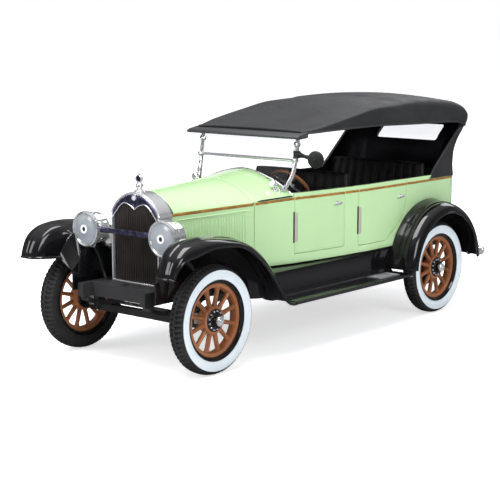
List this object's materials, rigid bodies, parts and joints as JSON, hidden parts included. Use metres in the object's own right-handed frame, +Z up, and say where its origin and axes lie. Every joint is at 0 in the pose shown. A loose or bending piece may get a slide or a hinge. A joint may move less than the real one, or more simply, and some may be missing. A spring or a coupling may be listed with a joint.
{
  "type": "scale model of a 1920s touring car",
  "caption": "Die-cast style scale model of an open 1920s touring car with its top up, opening doors and bonnet, steering front wheels and spoked wheels.",
  "frame": {"origin": "centre of the bounding box on the ground plane that the wheels stand on", "axes": "+Z up, -Y towards the front of the car, +X towards its left side"},
  "size_m": [0.073, 0.1852, 0.0828],
  "materials": {
    "body_paint": "gloss",
    "black_paint": "gloss",
    "black_plastic": "satin",
    "black_core": "satin",
    "chrome": "polished",
    "lens": "polished",
    "clear_pane": "polished",
    "chassis_black": "satin",
    "exhaust_grey": "satin",
    "engine_grey": "matte",
    "top_cloth": "matte",
    "seat_black": "satin",
    "tyre_rubber": "matte",
    "wheel_wood": "satin",
    "axle_steel": "satin"
  },
  "bodies": {
    "root": {"body_tub": "body_paint", "cowl": "body_paint", "firewall": "black_paint", "dashboard": "black_plastic", "floor_pan": "black_plastic", "bonnet_sides": "body_paint", "bonnet_hinge": "chrome", "radiator_shell": "chrome", "radiator_core": "black_core", "radiator_cap": "chrome", "headlamps": "chrome", "headlamp_lenses": "lens", "headlamp_bar": "chrome", "cowl_lamps": "chrome", "front_fenders": "black_paint", "rear_fenders": "black_paint", "running_boards": "black_paint", "step_plates": "chrome", "chassis": "chassis_black", "springs": "chassis_black", "front_axle": "chassis_black", "rear_axle": "chassis_black", "exhaust": "exhaust_grey", "engine_block": "engine_grey", "windscreen_frame": "chrome", "windscreen_glass": "clear_pane", "sun_visor": "black_plastic", "side_mirror": "black_plastic", "top": "top_cloth", "rear_curtain": "top_cloth", "rear_window": "clear_pane", "front_seat": "seat_black", "rear_seat": "seat_black", "steering_column": "black_plastic", "tail_lamps": "chrome", "spare_tyre": "tyre_rubber", "spare_carrier": "black_paint"},
    "bonnet_left": {"bonnet_leaf_left": "body_paint"},
    "bonnet_right": {"bonnet_leaf_right": "body_paint"},
    "door_front_left": {"front_door_left": "body_paint"},
    "door_front_right": {"front_door_right": "body_paint"},
    "door_rear_left": {"rear_door_left": "body_paint"},
    "door_rear_right": {"rear_door_right": "body_paint"},
    "steer_knuckle_left": {"knuckle_left": "axle_steel"},
    "steer_knuckle_right": {"knuckle_right": "axle_steel"},
    "track_rod": {"tie_rod": "axle_steel"},
    "hand_wheel": {"steering_wheel": "wheel_wood"},
    "road_wheel_front_left": {"tyre_front_left": "tyre_rubber", "wheel_front_left": "wheel_wood"},
    "road_wheel_front_right": {"tyre_front_right": "tyre_rubber", "wheel_front_right": "wheel_wood"},
    "road_wheel_rear_left": {"tyre_rear_left": "tyre_rubber", "wheel_rear_left": "wheel_wood"},
    "road_wheel_rear_right": {"tyre_rear_right": "tyre_rubber", "wheel_rear_right": "wheel_wood"}
  },
  "joints": [
    {"name": "bonnet_left_hinge", "type": "hinge", "parent": "root", "child": "bonnet_left", "pos_m": [0, -0.067, 0.0551], "axis": [0, -0.9976, -0.0695], "range_deg": [0, 65]},
    {"name": "door_front_left_hinge", "type": "hinge", "parent": "root", "child": "door_front_left", "pos_m": [0.02235, -0.01845, 0.0403], "axis": [0, 0, -1], "range_deg": [0, 65]},
    {"name": "door_rear_left_hinge", "type": "hinge", "parent": "root", "child": "door_rear_left", "pos_m": [0.02585, 0.01385, 0.0396], "axis": [0, 0, -1], "range_deg": [0, 65]},
    {"name": "steer_left", "type": "hinge", "parent": "root", "child": "steer_knuckle_left", "pos_m": [0.024, -0.0695, 0.0174], "axis": [0, 0, 1], "range_deg": [-22, 22]},
    {"name": "spin_front_left", "type": "hinge", "parent": "steer_knuckle_left", "child": "road_wheel_front_left", "pos_m": [0.0294, -0.0695, 0.0174], "axis": [1, 0, 0], "continuous": true},
    {"name": "spin_rear_left", "type": "hinge", "parent": "root", "child": "road_wheel_rear_left", "pos_m": [0.0294, 0.0575, 0.0174], "axis": [1, 0, 0], "continuous": true},
    {"name": "bonnet_right_hinge", "type": "hinge", "parent": "root", "child": "bonnet_right", "pos_m": [0, -0.067, 0.0551], "axis": [0, 0.9976, 0.0695], "range_deg": [0, 65]},
    {"name": "door_front_right_hinge", "type": "hinge", "parent": "root", "child": "door_front_right", "pos_m": [-0.02235, -0.01845, 0.0403], "axis": [0, 0, 1], "range_deg": [0, 65]},
    {"name": "door_rear_right_hinge", "type": "hinge", "parent": "root", "child": "door_rear_right", "pos_m": [-0.02585, 0.01385, 0.0396], "axis": [0, 0, 1], "range_deg": [0, 65]},
    {"name": "steer_right", "type": "hinge", "parent": "root", "child": "steer_knuckle_right", "pos_m": [-0.024, -0.0695, 0.0174], "axis": [0, 0, 1], "range_deg": [-22, 22]},
    {"name": "spin_front_right", "type": "hinge", "parent": "steer_knuckle_right", "child": "road_wheel_front_right", "pos_m": [-0.0294, -0.0695, 0.0174], "axis": [1, 0, 0], "continuous": true},
    {"name": "spin_rear_right", "type": "hinge", "parent": "root", "child": "road_wheel_rear_right", "pos_m": [-0.0294, 0.0575, 0.0174], "axis": [1, 0, 0], "continuous": true},
    {"name": "track_rod_pivot", "type": "hinge", "parent": "steer_knuckle_left", "child": "track_rod", "pos_m": [0.024, -0.0605, 0.0152], "axis": [0, 0, 1], "range_deg": [-22, 22]},
    {"name": "hand_wheel_turn", "type": "hinge", "parent": "root", "child": "hand_wheel", "pos_m": [0.011, -0.007, 0.0524], "axis": [0, 0.7771, 0.6293], "range_deg": [-88, 88]}
  ],
  "couplings": [
    {"joint": "steer_right", "follows": "steer_left", "ratio": 1},
    {"joint": "track_rod_pivot", "follows": "steer_left", "ratio": -1},
    {"joint": "hand_wheel_turn", "follows": "steer_left", "ratio": 4}
  ]
}
